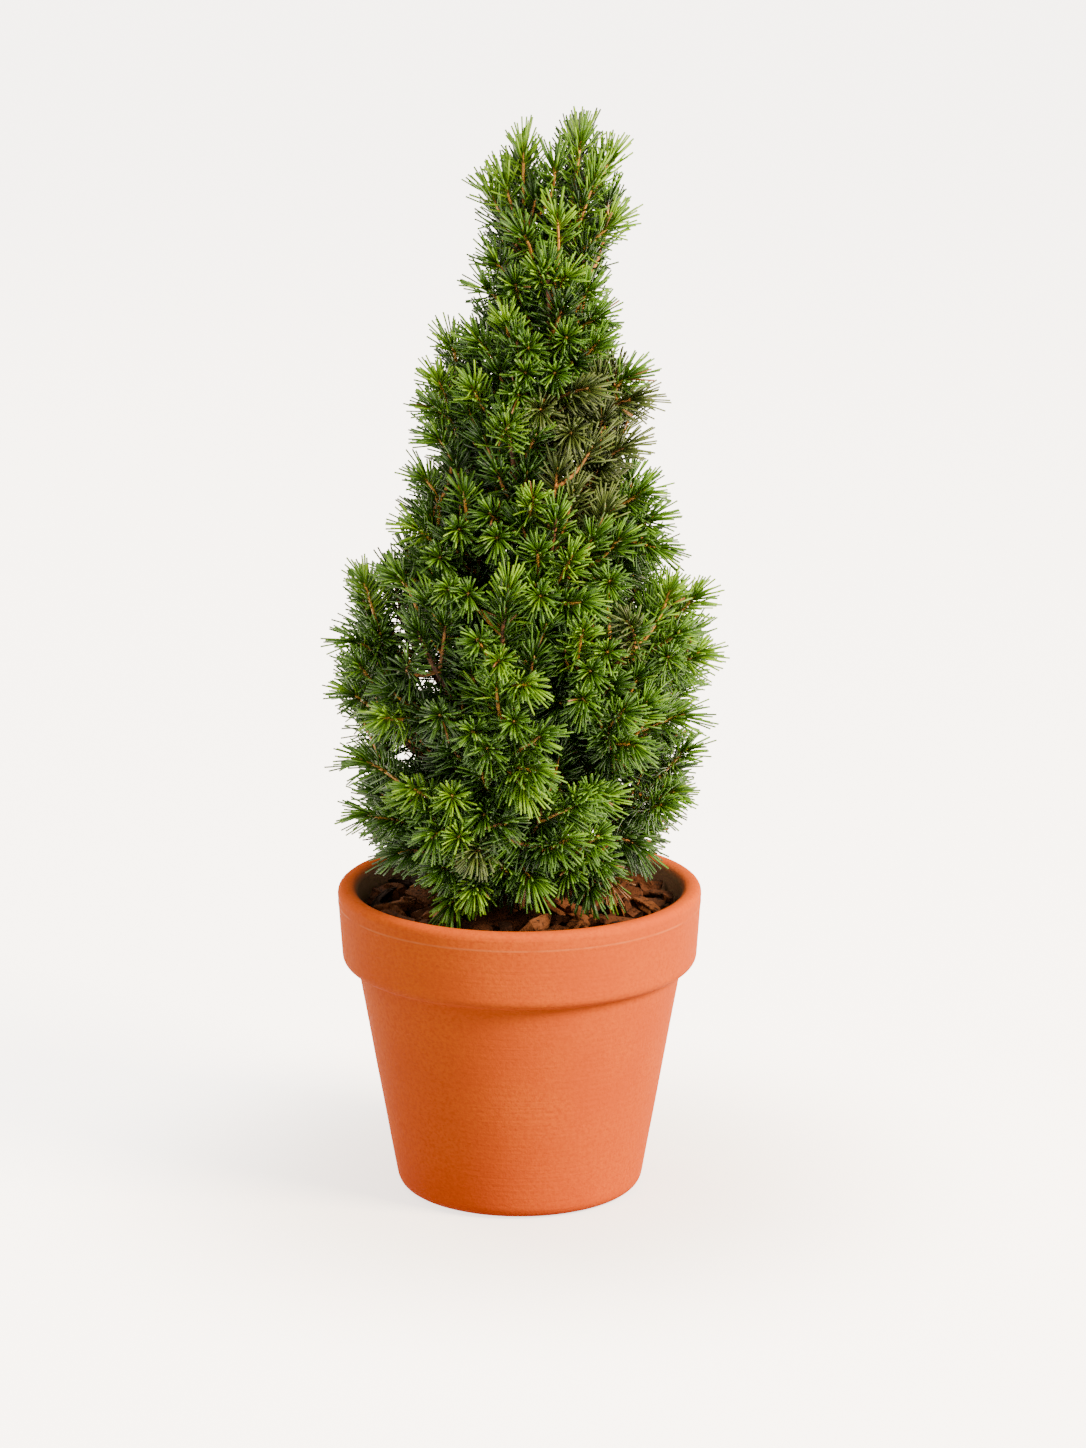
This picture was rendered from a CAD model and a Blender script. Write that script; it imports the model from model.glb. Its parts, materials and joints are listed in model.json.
"""A dwarf Alberta spruce in a six inch clay pot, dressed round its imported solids.

The crown grows by the same plan as the solids: a leaning trunk, tiers of boughs, and masses of
foliage that each keep to the space nearest their own path. Here every mass is carried on to finer
twigs, and each twig bears its needles one by one. Lengths are in metres, +Z is up and -Y is the
front.
"""

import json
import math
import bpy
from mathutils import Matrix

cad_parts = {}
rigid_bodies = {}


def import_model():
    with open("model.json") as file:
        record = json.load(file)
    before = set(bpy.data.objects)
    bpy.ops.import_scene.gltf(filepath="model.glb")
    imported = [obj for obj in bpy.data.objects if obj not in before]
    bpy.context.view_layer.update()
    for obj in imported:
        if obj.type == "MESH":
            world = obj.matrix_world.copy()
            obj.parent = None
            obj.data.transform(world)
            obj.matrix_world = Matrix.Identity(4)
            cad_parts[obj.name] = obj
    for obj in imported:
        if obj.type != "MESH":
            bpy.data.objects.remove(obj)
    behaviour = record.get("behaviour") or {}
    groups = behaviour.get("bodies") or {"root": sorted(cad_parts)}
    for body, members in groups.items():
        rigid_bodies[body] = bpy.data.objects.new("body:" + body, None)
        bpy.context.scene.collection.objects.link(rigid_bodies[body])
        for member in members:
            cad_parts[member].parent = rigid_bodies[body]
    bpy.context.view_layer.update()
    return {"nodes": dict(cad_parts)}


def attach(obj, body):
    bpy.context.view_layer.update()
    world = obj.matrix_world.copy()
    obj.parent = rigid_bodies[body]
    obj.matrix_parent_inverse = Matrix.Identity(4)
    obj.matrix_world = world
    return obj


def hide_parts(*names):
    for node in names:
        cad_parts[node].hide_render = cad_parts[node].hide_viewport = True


bl_info = {
    "name": "Potted Alberta Spruce",
    "version": (1, 0, 0),
    "blender": (4, 5, 0),
    "location": "3D View > Sidebar > Spruce",
    "description": "Builds a dwarf Alberta spruce and its clay pot round the packed solids",
    "category": "Add Mesh",
}

from dataclasses import dataclass

import bpy
import numpy as np
from bpy.props import FloatProperty, FloatVectorProperty, IntProperty, PointerProperty
from bpy.types import Operator, Panel, PropertyGroup
from mathutils import Vector

for started_with in list(bpy.data.objects):
    bpy.data.objects.remove(started_with, do_unlink=True)
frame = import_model()

MM = 0.001
SEED = 1729
GOLDEN_ANGLE = math.pi * (3.0 - math.sqrt(5.0))

# ---------------------------------------------------------------- the plan, as in the solids

POT_HEIGHT = 136.9 * MM
RIM_RADIUS = 80.0 * MM
RIM_FOOT_RADIUS = 77.6 * MM
RIM_DEPTH = 34.2 * MM
MOUTH_RADIUS = 71.7 * MM
NECK_RADIUS = 71.3 * MM
BASE_RADIUS = 53.4 * MM
FLOOR_THICKNESS = 8.0 * MM
FLOOR_RADIUS = 46.0 * MM
DRAIN_RADIUS = 11.0 * MM

SOIL_TOP = 112.0 * MM
MULCH_TOP = 119.0 * MM
TRUNK_TOP = 412.0 * MM
TRUNK_LEAN = 20.0 * MM
TRUNK_SWAY = 3.0 * MM
TRUNK_RADIUS = 5.6 * MM
TRUNK_TIP_RADIUS = 1.4 * MM
FLARE_RADIUS = 4.6 * MM
FLARE_HEIGHT = 9.0 * MM
BOUGH_RADIUS = 2.3 * MM
JOINT_SPREAD = 4.5 * MM
TIP_SPREAD = 5.0 * MM
BEND_SHARE = (0.66, 0.66, 0.22)
TIP_INSET = 0.96
PATH_POINTS = 13
BARE_POINTS = 3  # of a mass's path that are its bough's, and bear no foliage
PLUME_REACH = 15.0 * MM
FOLIAGE_FLOOR = 131.0 * MM
RIM_CLEAR_HEIGHT = 142.0 * MM
RIM_CLEAR_RADIUS = 63.0 * MM

# The dressing's own sizes: the pot's mould seam, damp stain and soft edges, the reach of a shoot's
# needles past its tip, and how deep behind the outline the named front shoots stand
SEAM_HEIGHT = 129.5 * MM
SEAM_RIDGE = 0.16 * MM
SEAM_WIDTH = 0.8 * MM
SEAM_BAND = (0.7 * MM, 0.1 * MM)  # from where the rubbed seam starts to where it is palest
LIP_ROUNDING = 4.1 * MM
RIM_FOOT_ROUNDING = 3.8 * MM
FOOT_ROUNDING = 6.0 * MM
DRAIN_ROUNDING = 0.8 * MM
FLOOR_ROUNDING = 3.0 * MM
STAIN_FOOT = 112.0 * MM
DAMP_BAND = (137.5 * MM, 133.0 * MM)  # from dry clay at the lip to damp clay below it
WALL_MIDDLE = 76.0 * MM  # the inner face of the rim is nearer the axis, the outer face further
WALL_GAP = 0.6 * MM  # between the bed and the pot's wall
LAYER_GAP = 0.3 * MM  # between the mix and the bed
CHIP_GAP = 0.8 * MM  # between a chip and the pot's wall
TRUNK_GAP = 1.5 * MM  # between a chip and the trunk
CLAY_WAVE = 0.1 * MM
ARC_POINTS = 9
LONGEST_RUN = 1.6 * MM  # of the pot's profile, between two of its points
POT_STEPS = 224
COVE_DROP = 1.0 * MM
COVE_ROUNDING = 2.4 * MM
TIP_REACH = 9.0 * MM
CROWN_TOP = 473.0 * MM
CAMERA_PLACE = np.array((10.3, -1890.2, 678.5)) * MM
FRONT_INSET = 6.0 * MM
FRONT_NEEDLED = 26.0 * MM

# The crown's outline: height, furthest left, furthest right, half its depth, in mm
OUTLINE = (
    (146, -58, 58, 60),
    (170, -76, 75, 76),
    (235, -79, 83, 81),
    (276, -72, 79, 70),
    (294, -51, 65, 58),
    (330, -43, 55, 50),
    (365, -42, 55, 45),
    (396, -22, 42, 36),
    (432, -18, 46, 32),
    (460, -9, 43, 24),
    (472, -6, 40, 18),
)

# Tiers of masses: height of the joint, height of the tips, azimuths, has a bough
TIERS = (
    (147, 160, (25, 97, 158, 238, 305), False),  # skirt
    (156, 199, (352, 50, 110, 172, 290), False),  # low
    (172, 238, (12, 78, 138, 190, 315), True),  # middle
    (200, 272, (42, 100, 152, 228, 310), True),  # shoulder
    (248, 316, (2, 70, 140, 202, 282), False),  # waist
    (292, 362, (345, 80, 172, 255), False),  # upper
    (332, 396, (15, 140, 250), False),  # neck
    (366, 428, (345, 80, 268), False),  # head
)

# Shoots that stand out: height of the joint, the bend, the tip, has a bough
PLUMES = (
    (186, (-60, -8, 196), (-69, -8, 284), True),  # left plume
    (190, (57, -14, 202), (67, -14, 280), True),  # right plume
    (178, (-12, -66, 190), (-5, -58, 288), True),  # front plume
    (157, (-26, -26, 166), (-53, -47, 192), False),  # low left shoot
    (362, (0, -12, 384), (3, -6, 463), True),  # second leader
    (412, (23.5, 0, 438), (28, 0, 472), False),  # leader
)

# Single shoots that catch the eye from the front: the tip's place across and up, the foot's place
# from the tip across and up, how far the tip stands in front of its foot, all in mm, and the
# tint: b bright, g green, d deep, y greyed, r rusty
FRONT_SHOOTS = (
    (26, 464, -3, -25, 0, "b"), (38, 455, -5, -13, 2, "b"), (32, 448, -9, -28, 8, "b"),
    (44, 429, -17, -17, 4, "b"), (2, 459, 0, -19, 2, "b"), (15, 454, 1, -13, 4, "g"),
    (-6, 446, 5, -16, 4, "b"), (-13, 441, 8, -16, 2, "b"), (16, 433, 2, -16, 10, "b"),
    (2, 426, 5, -10, 8, "g"), (-10, 414, 5, -8, 6, "g"), (9, 410, 3, -11, 16, "b"),
    (20, 408, -6, -9, 14, "b"), (-1, 404, 1, -8, 14, "g"), (29, 402, -5, -10, 8, "g"),
    (-15, 402, 6, -7, 4, "g"), (37, 390, -7, -5, 6, "g"), (-5, 389, 1, -12, 10, "b"),
    (-29, 378, 4, -9, 3, "b"), (-17, 381, 12, -14, 6, "g"), (4, 379, -1, -7, 24, "g"),
    (20, 383, -3, -8, 20, "g"), (33, 380, -10, -13, 8, "g"), (3, 369, -1, -7, 24, "g"),
    (15, 369, 0, -7, 24, "g"), (-19, 362, 4, -14, 12, "b"), (49, 365, -7, -5, 2, "g"),
    (51, 355, -17, -4, 4, "y"), (28, 362, -13, -5, 12, "y"), (9, 354, 0, -6, 24, "y"),
    (0, 360, 0, -6, 22, "g"), (-34, 363, 4, -8, 3, "b"), (-38, 351, 8, -6, 2, "g"),
    (-4, 347, -8, -11, 14, "b"), (22, 344, 0, -6, 26, "y"), (-39, 339, 8, -6, 3, "g"),
    (47, 336, -13, -8, 4, "y"), (-40, 321, 7, -8, 3, "g"), (6, 317, -3, -16, 16, "b"),
    (54, 316, -11, -10, 3, "g"), (59, 304, -7, -5, 2, "g"), (59, 292, -17, 4, 6, "g"),
    (-44, 300, 10, -8, 3, "b"), (-25, 303, 0, -8, 22, "g"), (-9, 301, 0, -8, 24, "g"),
    (-33, 291, 1, -7, 18, "g"), (8, 296, 0, -15, 12, "g"), (22, 293, -6, -15, 12, "b"),
    (-51, 282, 6, -7, 3, "g"), (-29, 280, 1, -8, 20, "g"), (-21, 279, 0, -7, 20, "g"),
    (-4, 282, -3, -21, 4, "b"), (9, 279, -1, -9, 22, "g"), (27, 276, -13, -4, 10, "g"),
    (38, 283, -1, -9, 20, "g"), (64, 276, -4, -16, 4, "b"), (75, 270, -6, -7, 2, "b"),
    (46, 266, 6, -10, 8, "y"), (-66, 277, 8, -28, 2, "b"), (-70, 252, 7, -4, 2, "g"),
    (-68, 243, 7, -9, 3, "g"), (-71, 230, 7, -6, 3, "g"), (-57, 224, 7, -5, 12, "b"),
    (-33, 229, 1, -9, 18, "d"), (-46, 249, -3, -7, 6, "d"), (-66, 202, 12, -6, 2, "g"),
    (-66, 178, 18, -7, 4, "g"), (-45, 195, 11, -10, 16, "b"), (-28, 194, 1, -11, 22, "b"),
    (-13, 216, 1, -10, 22, "g"), (-17, 261, 3, -8, 14, "g"), (-8, 253, 0, -9, 24, "b"),
    (4, 243, -8, -2, 14, "b"), (27, 264, -4, -17, 12, "b"), (30, 248, 0, -10, 22, "g"),
    (27, 237, 1, -10, 20, "g"), (37, 255, -1, -9, 18, "g"), (44, 230, -8, -11, 12, "g"),
    (69, 222, -12, -4, 3, "g"), (76, 246, -5, -4, 2, "b"), (67, 258, -5, -6, 4, "g"),
    (63, 249, -1, -10, 16, "g"), (10, 222, -11, -10, 12, "g"), (-2, 228, -1, -10, 22, "g"),
    (-19, 223, 1, -9, 20, "g"), (48, 214, -10, -1, 12, "g"), (7, 206, -10, -1, 14, "g"),
    (3, 199, -8, 4, 14, "b"), (31, 196, -1, -10, 22, "g"), (71, 205, -7, -8, 3, "g"),
    (65, 188, -7, -5, 6, "g"), (60, 184, -6, -7, 12, "g"), (24, 190, -25, -15, 16, "g"),
    (-6, 183, -12, -5, 14, "d"), (-25, 176, 1, -10, 20, "b"), (-36, 175, 7, 1, 14, "g"),
    (-18, 170, 6, -1, 18, "y"), (-19, 149, 1, 0, 16, "b"), (6, 155, -9, 6, 14, "g"),
    (20, 175, -14, -13, 16, "g"), (33, 175, -10, -11, 12, "g"), (50, 167, -6, 5, 4, "d"),
    (-50, 164, 8, 1, 4, "d"), (30, 148, -1, 4, 12, "d"), (39, 149, -5, 3, 10, "r"),
    (-29, 141, 5, 4, 12, "g"),
)


@dataclass
class Mass:
    """One mass of foliage and the path from its joint on the trunk to its furthest tip."""

    path: np.ndarray
    on_bough: bool
    stands_out: bool


def unit(vectors):
    """Each vector over its own length."""
    return vectors / np.linalg.norm(vectors, axis=-1, keepdims=True)


def path_lengths(paths):
    """The length of each of many paths (n, k, 3)."""
    return np.linalg.norm(np.diff(paths, axis=1), axis=2).sum(axis=1)


def turn_round(angle, first, second):
    """cos(a) first + sin(a) second: a direction turned by each angle from first towards second."""
    return np.cos(angle)[..., None] * first + np.sin(angle)[..., None] * second


def trunk_point(height):
    """The trunk's middle line: x = lean s^2 and y = sway s sin(2 pi s), s from 0 to 1 up it."""
    height = np.asarray(height, float)
    rise = (height - SOIL_TOP) / (TRUNK_TOP - SOIL_TOP)
    sway = TRUNK_SWAY * np.sin(math.tau * rise) * rise
    return np.stack((TRUNK_LEAN * rise**2, sway, height), axis=-1)


def trunk_radius(height):
    """A straight taper and a root flare: r = a + (b - a) s + flare exp(-height / fall)."""
    rise = (height - SOIL_TOP) / (TRUNK_TOP - SOIL_TOP)
    flare = FLARE_RADIUS * np.exp(-(height - SOIL_TOP) / FLARE_HEIGHT)
    return TRUNK_RADIUS + (TRUNK_TIP_RADIUS - TRUNK_RADIUS) * rise + flare


def bezier(start, bend, tip, count):
    """Points of (1-t)^2 start + 2t(1-t) bend + t^2 tip, for any number of curves at once."""
    t = np.linspace(0.0, 1.0, count)[:, None]
    start, bend, tip = (np.asarray(p, float)[..., None, :] for p in (start, bend, tip))
    return (1 - t) ** 2 * start + 2 * t * (1 - t) * bend + t**2 * tip


def outline_at(height):
    """The crown's outline at these heights: middle, half width, half depth."""
    heights, left, right, depth = np.array(OUTLINE).T * MM
    low, high = np.interp(height, heights, left), np.interp(height, heights, right)
    return (low + high) / 2, (high - low) / 2, np.interp(height, heights, depth)


def outwardness(points):
    """How far out each point lies in the crown: 0 on its middle line and 1 on its outline."""
    middle, width, depth = outline_at(points[..., 2])
    return np.hypot((points[..., 0] - middle) / width, points[..., 1] / depth)


def outline_point(azimuth, height):
    """The point of the crown's outline at this azimuth and height."""
    middle, width, depth = outline_at(height)
    angle = math.radians(azimuth)
    across, back = TIP_INSET * width * math.cos(angle), TIP_INSET * depth * math.sin(angle)
    return np.array((middle + across, back, height))


def plan_masses():
    """Every mass of the crown, tier by tier, then the shoots that stand out."""
    rng = np.random.default_rng(SEED)
    masses = []
    for joint, tip_height, azimuths, on_bough in TIERS:
        for number, azimuth in enumerate(azimuths, 1):
            tip = outline_point(azimuth, tip_height * MM + rng.uniform(-1.0, 1.0) * TIP_SPREAD)
            foot = trunk_point(joint * MM + (number % 3 - 1) * JOINT_SPREAD)
            bend = foot + (tip - foot) * np.array(BEND_SHARE)
            masses.append(Mass(bezier(foot, bend, tip, PATH_POINTS), on_bough, False))
    for joint, bend, tip, on_bough in PLUMES:
        path = bezier(trunk_point(joint * MM), np.array(bend) * MM, np.array(tip) * MM, PATH_POINTS)
        masses.append(Mass(path, on_bough, True))
    return masses


def segment_gaps(points, starts, ends):
    """Distance from each point to each line segment, as rows and columns."""
    runs = ends - starts
    offsets = points[:, None] - starts[None]
    share = np.clip((offsets * runs).sum(2) / (runs * runs).sum(1), 0.0, 1.0)
    return np.linalg.norm(offsets - share[..., None] * runs, axis=2)


class Space:
    """Which points of the crown belong to which mass.

    A point belongs to the mass whose path is nearest, where it lies inside the crown's outline or
    close to a shoot that stands out, above the pot's rim and the bark.
    """

    def __init__(self, masses):
        grown = [mass.path[BARE_POINTS:] if mass.on_bough else mass.path for mass in masses]
        self.starts = np.concatenate([path[:-1] for path in grown])
        self.ends = np.concatenate([path[1:] for path in grown])
        self.owners = np.repeat(np.arange(len(masses)), [len(path) - 1 for path in grown])
        self.stands_out = np.array([mass.stands_out for mass in masses])

    def owner_gaps(self, points, index):
        """Each point's distance to this mass's path and to the nearest other one."""
        gaps = segment_gaps(points, self.starts, self.ends)
        own = self.owners == index
        return gaps[:, own].min(axis=1), gaps[:, ~own].min(axis=1)

    def near(self, points, index):
        """True for each point close to the path of the mass with this index."""
        return self.owner_gaps(points, index)[0] < PLUME_REACH

    def owner(self, points):
        """The mass whose path is nearest to each point."""
        return self.owners[segment_gaps(points, self.starts, self.ends).argmin(axis=1)]

    def free(self, points, index):
        """True for each point that the mass with this index may fill."""
        own, others = self.owner_gaps(points, index)
        over_rim = np.hypot(points[:, 0], points[:, 1]) > RIM_CLEAR_RADIUS
        floor = np.where(over_rim, RIM_CLEAR_HEIGHT, FOLIAGE_FLOOR)
        inside = outwardness(points) < 1.0
        inside |= self.stands_out[index] & (own < PLUME_REACH)
        return inside & (points[:, 2] > floor) & (own < others)


# ---------------------------------------------------------------- mesh helpers


def mesh_piece(name, points, faces, surface, smooth=True):
    """A new object at the origin from points (n, 3) and a list of face arrays (m, corners)."""
    mesh = bpy.data.meshes.new(name)
    points = np.ascontiguousarray(points, np.float32).reshape(-1, 3)
    corners = np.concatenate([np.ravel(rows) for rows in faces]).astype(np.int32)
    sizes = np.concatenate([np.full(len(rows), rows.shape[1]) for rows in faces])
    starts = (np.cumsum(sizes) - sizes).astype(np.int32)
    mesh.vertices.add(len(points))
    mesh.vertices.foreach_set("co", points.ravel())
    mesh.loops.add(len(corners))
    mesh.loops.foreach_set("vertex_index", corners)
    mesh.polygons.add(len(starts))
    mesh.polygons.foreach_set("loop_start", starts)
    mesh.polygons.foreach_set("use_smooth", np.full(len(starts), smooth))
    mesh.update(calc_edges=True)
    mesh.materials.append(surface)
    made = bpy.data.objects.new(name, mesh)
    bpy.context.scene.collection.objects.link(made)
    return made


def dress(name, shape, surface, nodes, smooth=True):
    """A finished piece of the part, tied to its body and its solids."""
    piece = mesh_piece(name, *shape, surface, smooth)
    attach(piece, "root")
    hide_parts(*nodes)
    return piece


def nodes_named(*beginnings):
    """The names of the part's solids that start so, in order."""
    return sorted(name for name in frame["nodes"] if name.startswith(beginnings))


def round_angles(steps):
    """This many angles spread evenly round a circle, from 0."""
    return np.arange(steps) * math.tau / steps


def level_ways(angle):
    """The level unit vector that points each way round the axis."""
    return np.stack((np.cos(angle), np.sin(angle), np.zeros(len(angle))), -1)


def ring_walls(index):
    """The quads between neighbouring rings of points, from their numbers (..., rings, sides)."""
    low, high = index[..., :-1, :], index[..., 1:, :]
    after = np.roll(index, -1, axis=-1)
    around = (low, after[..., :-1, :], after[..., 1:, :], high)
    return np.stack(around, axis=-1).reshape(-1, 4)


def dealt_out(counts):
    """Which owner each item belongs to and its number there, for this many items to an owner."""
    which = np.repeat(np.arange(len(counts)), counts)
    return which, np.arange(len(which)) - np.repeat(np.cumsum(counts) - counts, counts)


def frames_along(paths):
    """Tangent, normal and binormal at every point of many paths (n, k, 3).

    T is the unit tangent, R the axis that a path runs least along, N = unit(R - (R.T)T), B = T x N.
    """
    tangents = unit(np.gradient(paths, axis=1))
    axis = np.abs(tangents.mean(axis=1)).argmin(axis=1)
    reference = np.eye(3)[axis][:, None]
    normals = unit(reference - (reference * tangents).sum(-1, keepdims=True) * tangents)
    return tangents, normals, np.cross(tangents, normals)


def tubes(paths, radii, sides, turn=0.0):
    """Closed tubes carried along many paths (n, k, 3): P + r (cos(a) N + sin(a) B).

    radii is (n, k), or (n, k, sides) where the section isn't round; a runs evenly round the tube
    from turn. Each end is closed by one flat face.
    """
    count, rings = paths.shape[:2]
    _, normals, binormals = frames_along(paths)
    angle = round_angles(sides) + np.broadcast_to(turn, (count, 1, 1))
    radii = radii[..., None] if radii.ndim == 2 else radii
    across = (np.cos(angle) * radii)[..., None] * normals[:, :, None]
    along = (np.sin(angle) * radii)[..., None] * binormals[:, :, None]
    points = paths[:, :, None] + across + along

    index = np.arange(count * rings * sides).reshape(count, rings, sides)
    caps = np.concatenate((index[:, 0, ::-1], index[:, -1]))
    return points.reshape(-1, 3), [ring_walls(index), caps]


def at_share(paths, which, share):
    """The points of paths[which] at these shares of their length, by straight interpolation."""
    place = share * (paths.shape[1] - 1)
    low = np.minimum(place.astype(int), paths.shape[1] - 2)
    part = (place - low)[:, None]
    return paths[which, low] * (1 - part) + paths[which, low + 1] * part


def noise(points, cell, seed=0):
    """Smooth noise from -1 to 1: values hashed at the corners of a grid, blended by 3f^2 - 2f^3."""
    place = np.asarray(points, float) / cell
    corner = np.floor(place)
    f = place - corner
    f = f * f * (3 - 2 * f)
    total = np.zeros(place.shape[:-1])
    for step in np.ndindex(2, 2, 2):
        weight = np.prod(np.where(step, f, 1 - f), axis=-1)
        dots = (corner + step) @ (127.1, 311.7, 74.7) + 19.19 * seed
        total += weight * (2 * np.modf(np.abs(np.sin(dots)) * 43758.5453)[0] - 1)
    return total


# ---------------------------------------------------------------- materials


def linear(code):
    """Linear RGB from an sRGB hex code."""
    values = [int(code[k : k + 2], 16) / 255 for k in (0, 2, 4)]
    return tuple(v / 12.92 if v <= 0.04045 else ((v + 0.055) / 1.055) ** 2.4 for v in values)


def set_sockets(tree, node, sockets):
    """Give a node's inputs plain values, or links from other nodes' outputs.

    An input goes by its number, or by its name with _ for each space.
    """
    for key, value in sockets.items():
        socket = node.inputs[key.replace("_", " ") if isinstance(key, str) else key]
        if isinstance(value, bpy.types.NodeSocket):
            tree.links.new(value, socket)
        else:
            socket.default_value = value


def add_node(tree, kind, output, settings=None, **sockets):
    """Add a shader node with its attributes and sockets set, and give one output of it."""
    node = tree.nodes.new("ShaderNode" + kind)
    for key, value in (settings or {}).items():
        if isinstance(key, str):
            setattr(node, key, value)
        else:
            sockets[key] = value
    set_sockets(tree, node, sockets)
    return node.outputs[output]


def new_material(name, colour, roughness, **sockets):
    """A Principled material with plain values, and its tree and shader to build on."""
    made = bpy.data.materials.new(name)
    made.use_nodes = True
    tree = made.node_tree
    shader = tree.nodes["Principled BSDF"]
    set_sockets(tree, shader, {"Base Color": (*colour, 1.0), "Roughness": roughness, **sockets})
    made.diffuse_color = (*colour, 1.0)
    return made, tree, shader


def blend_colours(tree, share, *ends):
    """The Color output of a mix of two colours or sockets by a share."""
    first, second = (end if isinstance(end, bpy.types.NodeSocket) else (*end, 1.0) for end in ends)
    sockets = {"data_type": "RGBA", 0: share, 6: first, 7: second}
    return add_node(tree, "Mix", 2, sockets)


def band(tree, value, low, high):
    """A value's smooth step from 0 at low to 1 at high."""
    step = {"interpolation_type": "SMOOTHSTEP"}
    return add_node(tree, "MapRange", "Result", step, Value=value, From_Min=low, From_Max=high)


def overlap(tree, *shares):
    """The share of a place that lies in every one of these shares: their product."""
    whole = shares[0]
    for share in shares[1:]:
        whole = add_node(tree, "Math", 0, {"operation": "MULTIPLY", 0: whole, 1: share})
    return whole


def object_noise(tree, grain, detail=2.0, stretch=(1.0, 1.0, 1.0)):
    """Noise on Object coordinates whose lumps are about grain metres across."""
    place = add_node(tree, "TexCoord", "Object")
    mapped = add_node(tree, "Mapping", 0, Scale=stretch, Vector=place)
    return add_node(tree, "TexNoise", "Fac", Scale=1.0 / grain, Detail=detail, Vector=mapped)


def finish(tree, shader, colour, *layers):
    """Link a shader's colour, and stack (height socket, depth in metres) layers of bump on it."""
    tree.links.new(colour, shader.inputs["Base Color"])
    before = {}
    for height, depth in layers:
        sockets = {"Strength": 1.0, "Distance": depth, "Height": height, **before}
        before = {"Normal": add_node(tree, "Bump", "Normal", **sockets)}
    set_sockets(tree, shader, before)


def terracotta(settings):
    """Terracotta, jolleyed and fired unglazed.

    The eye sees a matt, warm orange clay with soft clouding, fine grog specks under a millimetre
    across, faint turning lines and an orange-peel skin; it darkens where damp mulch meets it, and
    the mould's seam shows as a thin pale ring on the rim.
    """
    made, tree, shader = new_material(
        "Fired terracotta", settings.clay, settings.clay_roughness, Specular_IOR_Level=0.025
    )
    place = add_node(tree, "TexCoord", "Object")
    height = add_node(tree, "SeparateXYZ", "Z", Vector=place)
    flat = add_node(tree, "VectorMath", 0, {"operation": "MULTIPLY", 0: place, 1: (1.0, 1.0, 0.0)})
    reach = add_node(tree, "VectorMath", "Value", {"operation": "LENGTH", 0: flat})

    colour = settings.clay
    for grain, detail, low, high, other in (
        (34 * MM, 2.0, 0.25, 0.75, settings.clay_pale),
        (1.6 * MM, 3.0, 0.35, 0.75, settings.clay_deep),
        (1.1 * MM, 1.0, 0.7, 0.8, settings.clay_speck),
    ):
        spread = band(tree, object_noise(tree, grain, detail), low, high)
        colour = blend_colours(tree, spread, colour, other)

    # The damp stain is on the wall's inner face, the seam on its outer face
    inside = add_node(tree, "Math", 0, {"operation": "LESS_THAN", 0: reach, 1: WALL_MIDDLE})
    above = add_node(tree, "Math", 0, {"operation": "GREATER_THAN", 0: height, 1: STAIN_FOOT})
    stain = overlap(tree, band(tree, height, *DAMP_BAND), inside, above)
    colour = blend_colours(tree, stain, colour, settings.clay_damp)
    past_seam = add_node(tree, "Math", 0, {"operation": "SUBTRACT", 0: height, 1: SEAM_HEIGHT})
    gap = add_node(tree, "Math", 0, {"operation": "ABSOLUTE", 0: past_seam})
    outside = add_node(tree, "Math", 0, {"operation": "SUBTRACT", 0: 1.0, 1: inside})
    worn = band(tree, object_noise(tree, 14 * MM), 0.3, 0.6)
    ring = overlap(tree, worn, outside, band(tree, gap, *SEAM_BAND))
    colour = blend_colours(tree, ring, colour, settings.clay_seam)

    peel = object_noise(tree, 1.7 * MM)
    grain = object_noise(tree, 0.7 * MM)
    turning = object_noise(tree, 12 * MM, stretch=(0.25, 0.25, 9.0))
    finish(tree, shader, colour, (turning, 0.15 * MM), (peel, 0.13 * MM), (grain, 0.08 * MM))
    return made


def bark_chip(settings):
    """Pine bark, stripped, broken and composted.

    The eye sees red-brown flakes, each its own brown, with a dull, pitted and fibrous face.
    """
    made, tree, shader = new_material(
        "Pine bark chips", settings.chip, 0.9, Specular_IOR_Level=0.15
    )
    tone = add_node(tree, "Attribute", "Fac", {"attribute_name": "tone"})
    pits = band(tree, object_noise(tree, 1.8 * MM, 3.0), 0.5, 0.3)
    colour = blend_colours(tree, band(tree, tone, 0.0, 0.45), settings.chip_dark, settings.chip)
    colour = blend_colours(tree, band(tree, tone, 0.55, 1.1), colour, settings.chip_pale)
    colour = blend_colours(tree, pits, colour, settings.chip_dark)
    lumps, fibres = object_noise(tree, 2.6 * MM, 3.0), object_noise(tree, 1.0 * MM, 4.0)
    finish(tree, shader, colour, (lumps, 0.6 * MM), (fibres, 0.35 * MM))
    return made


def potting_mix(settings):
    """Peat and bark fines, damp: almost black, with crumbs two or three millimetres across."""
    made, tree, shader = new_material("Damp potting mix", settings.mix, 0.95)
    crumbs = object_noise(tree, 2.5 * MM, 4.0)
    colour = blend_colours(tree, band(tree, crumbs, 0.4, 0.65), settings.mix, settings.mix_crumb)
    finish(tree, shader, colour, (crumbs, 1.0 * MM))
    return made


def spruce_bark(name, colour, dark, roughness):
    """Bark of a young spruce limb: thin papery scales about three millimetres long."""
    made, tree, shader = new_material(name, colour, roughness)
    scales = band(tree, object_noise(tree, 2.2 * MM, 3.0, (1.0, 1.0, 0.6)), 0.35, 0.65)
    blended = blend_colours(tree, scales, dark, colour)
    finish(tree, shader, blended, (object_noise(tree, 1.2 * MM, 3.0), 0.3 * MM))
    return made


def needle_wax(name, colour, settings):
    """A spruce needle: evergreen, its real four sides drawn as three for the count, with a thin
    wax that gives long pale glints."""
    gloss = {"Specular_IOR_Level": settings.needle_gloss}
    return new_material(name, colour, settings.needle_roughness, **gloss)[0]


# ---------------------------------------------------------------- growing the crown

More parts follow.
